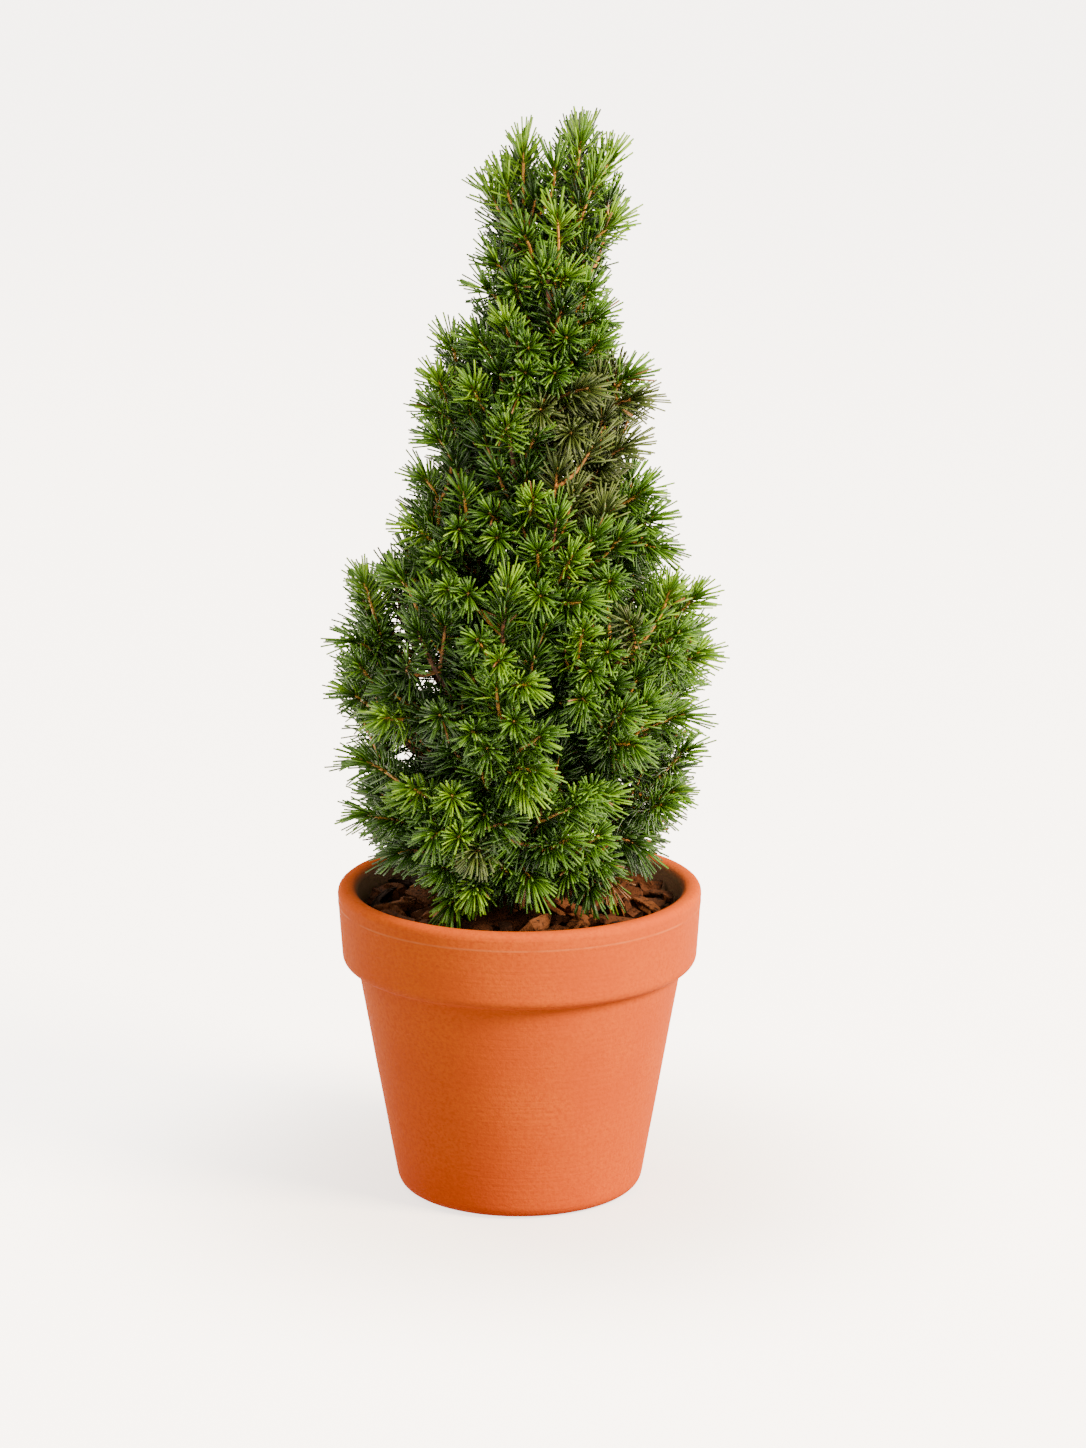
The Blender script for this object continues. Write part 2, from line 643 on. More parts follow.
SHOOT_POINTS = 9
MOST_NEEDLES = 199000 // 14  # in one piece: a needle is 14 triangles
SAG_DEPTH = 200.0 * MM
EDGE_INSET = (np.array((370.0, 400.0)) * MM, np.array((5.0, 2.0)) * MM)  # by height
SKY_MARGIN = 6.0  # how far shoot tips keep from the gaps below, in mm
MULCH_MARGIN = 3.0
NEEDLES_OUT = 1.02  # how far out a shoot's last needles may end, 1 being the outline
LEAST_STALK = 6.0 * MM
ROOT_OFFSET = 0.3 * MM  # a needle's root stands this far out of its shoot's middle line
MULCH_CLEAR = 3.0 * MM  # no needle hangs nearer the mulch than this
STALK_SETBACK = np.array((0.0, 6.0, -4.0)) * MM  # where a front stalk leaves from, past its foot
OUTLINE_MARGIN = 3.2 * MM
HEAD_FOOT = 340.0 * MM  # above this the crown is slim, and its shoots are needled to their feet
TINT_LEVEL = {"b": 0.3, "g": 1.7, "d": 3.3, "y": 2.0, "r": 2.0}
UP = np.array((0.0, 0.0, 1.0))
OUTWARD = np.array((1.0, 1.0, 0.0))

# Patches of the crown with a tint of their own: the middle of the patch and its half sizes
GREY_PATCH = (np.array((38.0, -25.0, 338.0)) * MM, np.array((26.0, 34.0, 36.0)) * MM)
RUSTY_PATCH = (np.array((40.0, -36.0, 150.0)) * MM, np.array((16.0, 16.0, 9.0)) * MM)

# Clear sky that shows through the crown from the front: across, up, half width, half height in mm
SKY = (
    (-52, 258, 4, 9), (-49, 243, 4, 7), (-35, 241, 5, 4),
    (-42, 227, 6, 3.2), (-65, 204, 3, 4), (-49, 195, 4, 3.5),
    (47, 182, 4, 3.5), (56, 172, 3, 3), (30, 160, 7, 2.2),
    (48, 267, 2.5, 4.5), (13, 460, 3, 8),
)

# Bare mulch that shows under the crown from the front, as above
BARE_MULCH = (
    (59, 134.5, 15.5, 8.8), (-61.5, 134.5, 9.5, 8.8), (20, 119, 28, 7.5),
)

# The crown from the front: height, then how far left and right it is seen to reach, in mm
FRONT_OUTLINE = (
    (149, -62, 62), (157, -68, 65), (182, -72, 74), (206, -72, 76), (222, -78, 75), (246, -77, 82),
    (271, -76, 80), (279, -75, 62), (287, -54, 62), (294, -52, 64), (317, -48, 57), (333, -39, 52),
    (341, -40, 47), (349, -39, 53), (357, -42, 54), (372, -36, 48), (381, -31, 38), (388, -20, 36),
    (403, -15, 33), (418, -11, 37), (433, -17, 43), (448, -11, 43), (456, -5, 43), (464, -3, 34),
    (472, 19, 30),
)

# The crown's underside: how far from the pot's axis, and how high nothing hangs below, in mm
UNDERSIDE = ((24, 131), (44, 146), (60, 155), (78, 168))


@dataclass
class Shoots:
    """Every shoot of the crown: its path, the share of it that is bare, its level of tint, its
    tint, and how densely it is needled."""

    paths: np.ndarray
    bare: np.ndarray
    levels: np.ndarray
    tints: np.ndarray
    vigour: np.ndarray


def stem_paths(masses, count):
    """Each mass's own limb, count points from the trunk to where its last needles still fit."""
    whole = np.array([mass.path for mass in masses])
    trials = np.linspace(0.6, 1.0, 41)
    which = np.repeat(np.arange(len(masses)), len(trials))
    tried = at_share(whole, which, np.tile(trials, len(masses)))
    fits = seen_inside(tried).reshape(len(masses), -1).cumprod(axis=1)
    furthest = trials[np.maximum(fits.sum(axis=1) - 1, 0)]
    last = furthest - TIP_REACH / path_lengths(whole)
    share = np.linspace(0.0, 1.0, count)[None] * last[:, None]
    which = np.repeat(np.arange(len(masses)), count)
    return at_share(whole, which, share.ravel()).reshape(len(masses), count, 3)


def in_patch(points, patch):
    """True for points inside a patch's ellipsoid."""
    middle, half = patch
    return np.linalg.norm((points - middle) / half, axis=-1) < 1.0


def seen_from_front(points):
    """Points carried along the line of sight to y = 0: their offset from the camera, made
    D / (D + y) as long, D the camera's distance."""
    nearness = -CAMERA_PLACE[1] / (points[:, 1] - CAMERA_PLACE[1])
    return CAMERA_PLACE + (points - CAMERA_PLACE) * nearness[:, None]


def front_edges(height, inset):
    """How far left and right the crown is seen to reach at these heights, less an inset."""
    heights, left, right = np.array(FRONT_OUTLINE).T * MM
    return np.interp(height, heights, left) + inset, np.interp(height, heights, right) - inset


def seen_inside(points):
    """True for points seen inside the crown's front outline."""
    seen = seen_from_front(points)
    left, right = front_edges(seen[:, 2], OUTLINE_MARGIN)
    below_top = seen[:, 2] < FRONT_OUTLINE[-1][0] * MM
    return (seen[:, 0] > left) & (seen[:, 0] < right) & below_top


def hangs_low(points):
    """True for points under the crown's underside, where the mulch shows."""
    reach, height = np.array(UNDERSIDE).T * MM
    return points[:, 2] < np.interp(np.hypot(points[:, 0], points[:, 1]), reach, height)


def allowed_reach(points, settings):
    """How far out fill may stand: to the outline, but behind the named shoots in front.

    The reach falls from 1 at the back to front_reach at the sides and front, by a smooth step of
    y over the half depth, and pockets of noise are left open down to pocket_reach.
    """
    _, _, depth = outline_at(points[:, 2])
    turned_front = np.clip(0.8 - points[:, 1] / depth / 0.5, 0.0, 1.0)
    reach = 1.0 - (1.0 - settings.front_reach) * turned_front**2 * (3 - 2 * turned_front)
    pocket = noise(points, settings.pocket_size, 21) > settings.pocket_level
    return np.where(pocket, np.minimum(reach, settings.pocket_reach), reach)


def in_gap(points, gaps, margin):
    """True for points seen inside one of the gaps, ellipses grown by the margin in mm."""
    hidden = np.zeros(len(points), bool)
    seen = seen_from_front(points) / MM
    for across, up, wide, high in gaps:
        offset = np.stack((seen[:, 0] - across, seen[:, 2] - up))
        hidden |= np.hypot(offset[0] / (wide + margin), offset[1] / (high + margin)) < 1.0
    return hidden


def front_shoots(masses, space):
    """The named front shoots, each joined by a curved stalk to the mass whose space it is in.

    The tip stands on the outline's front, y = -(depth - inset) sqrt(1 - u^2), u the share of the
    half width at its height; the stalk leaves the mass's path nearest to a point behind the foot.
    """
    rows = np.array([row[:5] for row in FRONT_SHOOTS]) * MM
    tints = np.array([row[5] for row in FRONT_SHOOTS])
    inset = np.interp(rows[:, 1], *EDGE_INSET)
    rows[:, 0] = np.clip(rows[:, 0], *front_edges(rows[:, 1], inset))
    middle, width, depth = outline_at(rows[:, 1])
    share = np.clip((rows[:, 0] - middle) / width, -1.0, 1.0)
    front = -(depth - FRONT_INSET) * np.sqrt(1.0 - share**2)
    tips = np.stack((rows[:, 0], front, rows[:, 1]), axis=1)
    feet = tips + np.stack((rows[:, 2], rows[:, 4], rows[:, 3]), axis=1)
    behind = feet + (feet - tips) * 0.8 + STALK_SETBACK
    joints = []
    for owner, point in zip(space.owner(feet), behind):
        path = masses[owner].path
        fine = at_share(path[None], np.zeros(60, int), np.linspace(0.0, 0.9, 60))
        joints.append(fine[np.linalg.norm(fine - point, axis=1).argmin()])
    joints = np.array(joints)
    stalk = np.linalg.norm(feet - joints, axis=1)
    head = np.linalg.norm(tips - feet, axis=1)
    bends = feet + (feet - tips) * (0.25 * stalk / np.maximum(head, LEAST_STALK))[:, None]
    reach = np.linalg.norm(joints - bends, axis=1) + np.linalg.norm(bends - tips, axis=1)
    needled = np.clip(FRONT_NEEDLED / reach, 0.3, 0.9)
    return bezier(joints, bends, tips, SHOOT_POINTS), 1.0 - needled, tips, tints


def sprout(limbs, count, rng, longest):
    """Shoots tried at random places of limbs: joints, bends and tips.

    A shoot leaves its limb at a lean of 0.5 to 1.2 from the limb's own direction, at any roll, and
    lifts towards the light: tip = joint + L unit(d + lift up), bend = joint + L d / 2.
    """
    which = rng.integers(len(limbs), size=count)
    share = rng.uniform(0.12, 0.92, count)
    joints = at_share(limbs, which, share)
    ahead = unit(at_share(limbs, which, np.minimum(share + 0.06, 1.0)) - joints)
    side = unit(np.cross(ahead, UP + np.array((0.013, 0.007, 0.0))))
    roll, lean = rng.uniform(0.0, math.tau, count), rng.uniform(0.5, 1.2, count)
    heading = turn_round(lean, ahead, turn_round(roll, side, np.cross(side, ahead)))
    length = rng.uniform(0.55, 1.0, count)[:, None] * longest
    lift = rng.uniform(0.25, 0.6, count)[:, None]
    tips = joints + length * unit(heading + lift * UP)
    return joints, joints + 0.5 * length * heading, tips


def grow_mass(stem, index, space, heads, settings):
    """Fill one mass's space with shoots, each the best placed of many tried.

    Of the tries whose bend and tip are free, the one whose tip stands furthest from every tip so
    far, as a share of the spacing asked for there, is kept. The spacing is least at the crown's
    outline, so the crown is closed outside and open within. Growth ends after a run of misses.
    """
    rng = np.random.default_rng((SEED, index))
    limbs, grown, misses = [stem], [], 0
    highest = stem[:, 2].max() + TIP_REACH if space.stands_out[index] else CROWN_TOP
    while misses < settings.misses:
        longest = settings.shoot_length if misses < settings.misses // 2 else settings.twig_length
        joints, bends, tips = sprout(np.array(limbs), settings.tries, rng, longest)
        beyond = tips + unit(tips - bends) * TIP_REACH
        free = space.free(tips, index) & space.free((bends + tips) / 2, index)
        on_plume = space.stands_out[index] & space.near(beyond, index)
        free &= (outwardness(beyond) < NEEDLES_OUT) | on_plume
        free &= ~in_gap(tips, SKY, SKY_MARGIN) & ~in_gap(tips, BARE_MULCH, MULCH_MARGIN)
        free &= ~hangs_low(beyond) & (beyond[:, 2] < highest)
        free &= (outwardness(tips) < allowed_reach(tips, settings)) & seen_inside(beyond)
        depth = np.clip(1.0 - outwardness(tips), 0.0, 1.0)
        spacing = settings.spacing + depth * settings.inner_spacing
        nearest = np.linalg.norm(tips[:, None] - np.array(heads)[None], axis=2).min(axis=1)
        worth = np.where(free, nearest / spacing, 0.0)
        best = int(worth.argmax())
        if worth[best] < 1.0:
            misses += 1
            continue
        path = bezier(joints[best], bends[best], tips[best], SHOOT_POINTS)
        grown.append(path)
        limbs.append(path)
        heads.append(tips[best])
    return grown


def grow_crown(settings):
    """Every shoot of the crown: the masses' own stems, the front shoots, then the fill.

    A stem's or fill shoot's level of tint is 1.5 + 6 depth + N(0, 0.55), and a step brighter for
    one in five; depth runs from 0 at the outline to 1 at the crown's middle line. The deep shoots
    bear fewer needles.
    """
    masses = plan_masses()
    space = Space(masses)
    stems = stem_paths(masses, SHOOT_POINTS)
    named, named_bare, named_tips, named_tints = front_shoots(masses, space)
    heads = [*named_tips, *stems[:, -1]]
    fill = []
    for index, stem in enumerate(stems):
        fill.extend(grow_mass(stem, index, space, heads, settings))
    fill = np.array(fill)
    rng = np.random.default_rng((SEED, 77))
    paths = np.concatenate((stems, named, fill))
    tips = paths[:, -1]
    count = len(paths)
    tints = np.concatenate((np.full(len(stems), "g"), named_tints, np.full(len(fill), "g")))
    levels = np.array([TINT_LEVEL[tint] for tint in tints])
    depth = np.clip(1.0 - outwardness(tips), 0.0, 1.0)
    loose = np.ones(count, bool)
    loose[len(stems) : len(stems) + len(named)] = False
    varied = 1.5 + 6.0 * depth + rng.normal(0.0, 0.55, count) - (rng.uniform(size=count) < 0.2)
    levels = np.where(loose, np.clip(varied, 0.2, 4.6), levels)
    tints = np.where(loose & in_patch(tips, GREY_PATCH), "y", tints)
    tints = np.where(loose & in_patch(tips, RUSTY_PATCH), "r", tints)
    most_bare = np.where(loose & (tips[:, 2] > HEAD_FOOT), 0.25, 0.7)
    bare = np.clip(1.0 - settings.needled / path_lengths(paths), 0.15, most_bare)
    bare[: len(stems)] = np.minimum(bare[: len(stems)], settings.stem_bare)
    bare[len(stems) : len(stems) + len(named)] = named_bare
    vigour = np.where(depth > 0.35, 0.7, 1.0)
    return Shoots(paths, bare, levels, tints, vigour), masses


def needle_rows(shoots, settings):
    """Every needle of the crown: its path (n, 3, 3), its level of tint and its tint.

    Needle i of a shoot sits at share s of it, at i golden angles round it, and leans from the
    shoot by 78 degrees at the foot of the needled part, closing to 26 at the tip:
    lean = 78 - 14 q - 38 q^5, q from 0 to 1 along the needled part. It curves forward along
    P(t) = root + L (t d + t^2 (curl T - sag Z)), and the sag grows from none at the crown's top.
    The side of a shoot that looks away from the trunk is parted, so that the stalk shows. Half
    the needles seen in a gap of sky are kept, and none over bare mulch.
    """
    rng = np.random.default_rng((SEED, 99))
    needled = path_lengths(shoots.paths) * (1.0 - shoots.bare)
    counts = (needled / MM * settings.density * shoots.vigour + settings.crown_needles).astype(int)
    which, number = dealt_out(counts)
    q = (number + rng.uniform(0.0, 1.0, len(which))) / counts[which]
    q = 1.0 - (1.0 - q) ** 1.6
    share = shoots.bare[which] + (1.0 - shoots.bare[which]) * q

    tangents, normals, binormals = frames_along(shoots.paths)
    roots = at_share(shoots.paths, which, share)
    ahead = unit(at_share(tangents, which, share))
    side, over = at_share(normals, which, share), at_share(binormals, which, share)
    roll = number * GOLDEN_ANGLE + rng.normal(0.0, 0.3, len(which))
    lean = np.radians(78.0 - 14.0 * q - 38.0 * q**5 + rng.normal(0.0, 7.0, len(which)))
    out = turn_round(roll, side, over)
    heading = turn_round(lean, ahead, out)
    length = settings.needle_length * rng.normal(1.0, 0.045, len(which))
    length *= 0.84 + 0.16 * np.minimum(q * 2.5, 1.0)
    curl = rng.normal(settings.needle_curl, 0.14, len(which))[:, None]
    t = np.array((0.0, 0.55, 1.0))[None, :, None]
    length = length[:, None, None]
    sag = settings.needle_sag * np.clip((CROWN_TOP - roots[:, 2:]) / SAG_DEPTH, 0.0, 1.0)
    bend = curl * ahead - sag * UP
    rows = roots[:, None] + length * (t * heading[:, None] + t**2 * bend[:, None])
    rows[:, 0] += out * ROOT_OFFSET
    facing = (unit(roots * OUTWARD) * out).sum(axis=1)
    parted = (facing > settings.parting) & (q < 0.82) & (rng.uniform(size=len(which)) < 0.85)
    levels = shoots.levels[which] + 1.5 * (1.0 - q) + rng.normal(0.0, 0.75, len(which))
    tints = shoots.tints[which]
    keep = ~in_gap(rows[:, 1], SKY, 0.0) | (rng.uniform(size=len(which)) < 0.5)
    keep &= ~in_gap(rows[:, 1], BARE_MULCH, 0.0)
    keep &= ~parted & (rows[:, :, 2].min(axis=1) > MULCH_TOP + MULCH_CLEAR)
    return rows[keep], levels[keep], tints[keep]


# ---------------------------------------------------------------- the pot and what fills it


def rounded_profile(corners, steps):
    """A closed profile through corners (radius, height, rounding), each softened by an arc.

    The arc is the quadratic curve whose ends lie its rounding away from the corner on both sides,
    (1-t)^2 a + 2t(1-t) corner + t^2 b, with steps points.
    """
    places = np.array([corner[:2] for corner in corners])
    soft = np.array([corner[2] for corner in corners])[:, None]
    before, after = np.roll(places, 1, axis=0) - places, np.roll(places, -1, axis=0) - places
    t = np.linspace(0.0, 1.0, steps)[None, :, None]
    first, last = places + unit(before) * soft, places + unit(after) * soft
    arcs = (1 - t) ** 2 * first[:, None] + 2 * t * (1 - t) * places[:, None]
    return (arcs + t**2 * last[:, None]).reshape(-1, 2)


def refine(profile, longest):
    """The closed profile with points added so that no straight run is longer than longest."""
    ends = np.roll(profile, -1, axis=0)
    counts = np.maximum(np.ceil(np.linalg.norm(ends - profile, axis=1) / longest), 1).astype(int)
    which, step = dealt_out(counts)
    part = (step / counts[which])[:, None]
    return profile[which] * (1 - part) + ends[which] * part


def turned(profile, steps):
    """A closed profile (n, 2) of radius and height carried round +Z: a ring of quads, no seam."""
    angle = round_angles(steps)
    across = profile[None, :, 0] * np.cos(angle)[:, None]
    back = profile[None, :, 0] * np.sin(angle)[:, None]
    points = np.stack((across, back, np.broadcast_to(profile[:, 1], across.shape)), axis=-1)
    index = np.arange(points[..., 0].size).reshape(steps, -1)
    after, up = np.roll(index, -1, 0), np.roll(index, -1, 1)
    beyond = np.roll(after, -1, 1)
    return points.reshape(-1, 3), [np.stack((index, after, beyond, up), -1).reshape(-1, 4)]


def pot_shape():
    """The turned pot, with its lip, cove and foot rounded, and a fine mould seam on the rim.

    The seam stands out by ridge exp(-(z - seam)^2 / width^2), and the wall wavers by a tenth of a
    millimetre as pressed clay does.
    """
    rim_foot = POT_HEIGHT - RIM_DEPTH
    corners = (
        (RIM_RADIUS, POT_HEIGHT, LIP_ROUNDING),
        (RIM_FOOT_RADIUS, rim_foot, RIM_FOOT_ROUNDING),
        (NECK_RADIUS, rim_foot - COVE_DROP, COVE_ROUNDING),
        (BASE_RADIUS, 0.0, FOOT_ROUNDING),
        (DRAIN_RADIUS, 0.0, DRAIN_ROUNDING),
        (DRAIN_RADIUS, FLOOR_THICKNESS, DRAIN_ROUNDING),
        (FLOOR_RADIUS, FLOOR_THICKNESS, FLOOR_ROUNDING),
        (MOUTH_RADIUS, POT_HEIGHT, LIP_ROUNDING),
    )
    profile = refine(rounded_profile(corners[::-1], ARC_POINTS), LONGEST_RUN)
    outer = profile[:, 0] > WALL_MIDDLE
    away = (profile[:, 1] - SEAM_HEIGHT) / SEAM_WIDTH
    profile[:, 0] += np.where(outer, SEAM_RIDGE * np.exp(-(away**2)), 0.0)
    points, faces = turned(profile, POT_STEPS)
    outward = unit(points * OUTWARD + 1e-9) * OUTWARD
    points += outward * noise(points, 19 * MM, 5)[:, None] * CLAY_WAVE
    return points, faces


def wall_radius(height):
    """The radius of the pot's inner wall at a height."""
    share = (height - FLOOR_THICKNESS) / (POT_HEIGHT - FLOOR_THICKNESS)
    return FLOOR_RADIUS + (MOUTH_RADIUS - FLOOR_RADIUS) * share


def bed_shape(settings):
    """The dark bed under the chips: a disc whose top is heaped by noise, h = top + rise n(x, y)."""
    rings, steps = 26, 96
    radius = np.linspace(0.0, 1.0, rings)[1:] * (wall_radius(MULCH_TOP) - WALL_GAP)
    flat = level_ways(round_angles(steps))
    top = flat[None] * radius[:, None, None]
    top[..., 2] = settings.bed_height + noise(top, 7 * MM, 3) * 1.3 * MM
    low = flat * (wall_radius(SOIL_TOP) - WALL_GAP) + UP * (SOIL_TOP + LAYER_GAP)
    points = np.concatenate(([[0.0, 0.0, settings.bed_height]], top.reshape(-1, 3), low))
    index = 1 + np.arange(rings * steps).reshape(rings, steps)
    index[-1] = 1 + (rings - 1) * steps + np.arange(steps)
    after = np.roll(index, -1, axis=1)
    fan = np.stack((np.zeros(steps, int), index[0], after[0]), -1)
    walls = np.stack((index[:-1], index[1:], after[1:], after[:-1]), -1).reshape(-1, 4)
    return points, [fan, walls, index[-1:, ::-1]]


def chip_shapes(settings):
    """Bark chips as curled, chipped superellipsoids, strewn in a golden-angle spiral.

    A point at longitude u and latitude v is (a p(cos v) p(cos u), b p(cos v) p(sin u), c p(sin v))
    with p(w) = sign(w) |w|^0.4; it is worn by noise, skewed by y += s x, curled across its width by
    z += k y^2 and bowed along its length by z += m x^2, then tipped and turned. s, k and m spread
    round 0 by 0.25, 45 per metre and 16 per metre. Chips near the wall or the trunk are pushed
    clear of them.
    """
    rng = np.random.default_rng(SEED + 1)
    count, around, rows = settings.chips, 12, 6
    u = round_angles(around)
    v = np.linspace(-math.pi / 2, math.pi / 2, rows + 2)[1:-1]

    def power(value):
        """A cosine or sine pushed towards 1 and -1, which squares the chip's section."""
        return np.sign(value) * np.abs(value) ** 0.4

    ring = np.stack((
        power(np.cos(v))[:, None] * power(np.cos(u))[None],
        power(np.cos(v))[:, None] * power(np.sin(u))[None],
        np.broadcast_to(power(np.sin(v))[:, None], (rows, around)),
    ), axis=-1).reshape(-1, 3)
    form = np.concatenate((ring, [[0.0, 0.0, -1.0], [0.0, 0.0, 1.0]]))

    size = rng.uniform(0.0, 1.0, count) ** 1.3
    length = settings.chip_short + (settings.chip_long - settings.chip_short) * size
    half = np.stack((length, length * rng.uniform(0.4, 0.75, count),
                     rng.uniform(2.0, 4.6, count) * MM), axis=-1) / 2
    spots = form[None] + rng.uniform(0.0, 90.0, (count, 1, 3))
    worn = 0.45 * noise(spots, 1.1, 7) + 0.25 * noise(spots, 0.5, 8)
    local = form[None] * half[:, None] * (1.0 + worn[..., None])
    shear = rng.normal(0.0, 0.25, count)[:, None]
    local[..., 1] += shear * local[..., 0]
    local[..., 2] += rng.normal(0.0, 45.0, count)[:, None] * local[..., 1] ** 2
    local[..., 2] += rng.normal(0.0, 16.0, count)[:, None] * local[..., 0] ** 2

    yaw = rng.uniform(0.0, math.tau, count)
    tip, roll = rng.normal(0.0, 0.3, count), rng.normal(0.0, 0.42, count)
    ahead = np.stack((np.cos(yaw) * np.cos(tip), np.sin(yaw) * np.cos(tip), np.sin(tip)), -1)
    level = unit(np.cross(UP, ahead))
    side = turn_round(roll, level, np.cross(ahead, level))
    axes = np.stack((ahead, side, np.cross(ahead, side)), axis=1)
    turned_chips = np.einsum("nki,nij->nkj", local, axes)

    number = np.arange(count)
    reach = np.sqrt((number + 0.5) / count) * (wall_radius(MULCH_TOP) - 1 * MM)
    layer = (number % 3) / 2
    place = np.stack((reach * np.cos(number * GOLDEN_ANGLE), reach * np.sin(number * GOLDEN_ANGLE),
                      settings.bed_height + 1.2 * MM + layer * settings.mulch_depth), -1)
    place += rng.normal(0.0, 1.0, (count, 3)) * np.array((2.4, 2.4, 0.7)) * MM
    points = turned_chips + place[:, None]

    out = np.linalg.norm(points[..., :2], axis=-1)
    excess = (out - (wall_radius(points[..., 2]) - CHIP_GAP)).max(axis=1)
    inward = place[:, :2] / np.linalg.norm(place[:, :2], axis=1, keepdims=True)
    points[..., :2] -= (inward * np.maximum(excess, 0.0)[:, None])[:, None]
    from_trunk = points[..., :2] - trunk_point(MULCH_TOP)[:2]
    close = np.linalg.norm(from_trunk, axis=-1).min(axis=1)
    clear = trunk_radius(MULCH_TOP) + TRUNK_GAP
    points[..., :2] += (inward * np.maximum(clear - close, 0.0)[:, None])[:, None]
    points[..., 2] = np.clip(points[..., 2], SOIL_TOP + 1 * MM, None)

    index = np.arange(rows * around).reshape(rows, around)
    after = np.roll(index, -1, axis=1)
    below, top = len(form) - 2, len(form) - 1
    floor = np.stack((np.full(around, below), after[0], index[0]), -1)
    lid = np.stack((np.full(around, top), index[-1], after[-1]), -1)
    base = (np.arange(count) * len(form))[:, None, None]
    tone = np.repeat(rng.uniform(0.0, 1.0, count), len(form))
    parts = (ring_walls(index), floor, lid)
    faces = [(base + corners).reshape(-1, corners.shape[1]) for corners in parts]
    return points.reshape(-1, 3), faces, tone


# ---------------------------------------------------------------- limbs


def relief(paths, radii, sides, depth, cell):
    """Radii (n, k, sides) roughened like bark: r (1 + depth n), n noise on the unrolled limb."""
    _, normals, binormals = frames_along(paths)
    rim = turn_round(round_angles(sides), normals[:, :, None], binormals[:, :, None])
    places = paths[:, :, None] * np.array((1.0, 1.0, 0.55)) + rim * radii[..., None, None]
    rough = noise(places, cell, 11) + 0.5 * noise(places, cell / 2.3, 12)
    return radii[..., None] * (1.0 + depth * rough)


def trunk_shape():
    """The trunk: a leaning, swaying tube with a root flare and bark that stands out in plates."""
    rings, sides = 190, 26
    heights = np.linspace(SOIL_TOP, TRUNK_TOP, rings)
    path = trunk_point(heights)[None]
    radii = relief(path, trunk_radius(heights)[None], sides, 0.13, 2.6 * MM)
    return tubes(path, radii, sides)


def limb_shapes(masses, settings):
    """Each mass's own limb, from the trunk to its tip: r = a + (b - a) s, with finer bark."""
    rings, sides = 44, 10
    share = np.linspace(0.0, 1.0, rings)
    paths = stem_paths(masses, rings)
    foot = np.where([mass.on_bough for mass in masses], settings.bough_radius, settings.stem_radius)
    radii = foot[:, None] + (settings.limb_tip_radius - foot[:, None]) * share
    return tubes(paths, relief(paths, radii, sides, 0.12, 1.8 * MM), sides)


def join_shapes(*shapes):
    """Several (points, faces) shapes as one."""
    points, faces, base = [], [], 0
    for shape_points, shape_faces in shapes:
        points.append(shape_points)
        faces.extend(rows + base for rows in shape_faces)
        base += len(shape_points)
    return np.concatenate(points), faces


# ---------------------------------------------------------------- foliage pieces


def twig_pieces(shoots, settings, first):
    """The shoots' own stalks, young and old apart, and a bud at each tip."""
    paths = shoots.paths[first:]
    share = np.linspace(0.0, 1.0, SHOOT_POINTS)
    radii = settings.twig_radius * (1.0 - 0.42 * share)
    radii = np.broadcast_to(radii, (len(paths), SHOOT_POINTS))
    old = (shoots.levels[first:] > 2.6) | (shoots.tints[first:] == "y")
    surfaces = (
        spruce_bark("Young spruce shoot", settings.young_bark, settings.young_bark_dark, 0.6),
        spruce_bark("Old spruce twig", settings.old_bark, settings.old_bark_dark, 0.8),
    )
    masses = nodes_named("foliage_")
    for name, chosen, surface in zip(("twigs_young", "twigs_old"), (~old, old), surfaces):
        dress(name, tubes(paths[chosen], radii[chosen], 6), surface, masses)
    tips, ahead = shoots.paths[:, -1], unit(shoots.paths[:, -1] - shoots.paths[:, -2])
    along = np.linspace(-0.6, 1.9, 6)
    bud_paths = tips[:, None] + ahead[:, None] * along[None, :, None] * MM
    bud_radii = np.broadcast_to(np.array((0.35, 0.7, 0.8, 0.7, 0.45, 0.12)) * MM, (len(tips), 6))
    surface = spruce_bark("Spruce bud", settings.bud, settings.bud_dark, 0.5)
    dress("buds", tubes(bud_paths, bud_radii, 6), surface, masses)


def dry_twigs(settings):
    """Bare, dried twigs low in the crown: thin curves that leave the trunk and droop outwards."""
    rng = np.random.default_rng((SEED, 31))
    count = settings.dry_twigs
    angle, reach = rng.uniform(0.0, math.tau, count), rng.uniform(26.0, 50.0, count) * MM
    out = level_ways(angle)
    feet = trunk_point(rng.uniform(128.0, 152.0, count) * MM)
    aside = np.cross(UP, out) * rng.normal(0.0, 9.0, count)[:, None] * MM
    bends = feet + out * reach[:, None] * 0.6 + UP * rng.uniform(2.0, 12.0, count)[:, None] * MM
    tips = feet + out * reach[:, None] + aside
    tips[:, 2] = rng.uniform(129.0, 141.0, count) * MM
    radii = np.broadcast_to(np.linspace(0.8, 0.35, 10) * MM, (count, 10))
    surface = spruce_bark("Dried spruce twig", settings.dry_bark, settings.old_bark, 0.85)
    shape = tubes(bezier(feet, bends, tips, 10), radii, 6)
    dress("twigs_dry", shape, surface, nodes_named("foliage_"))


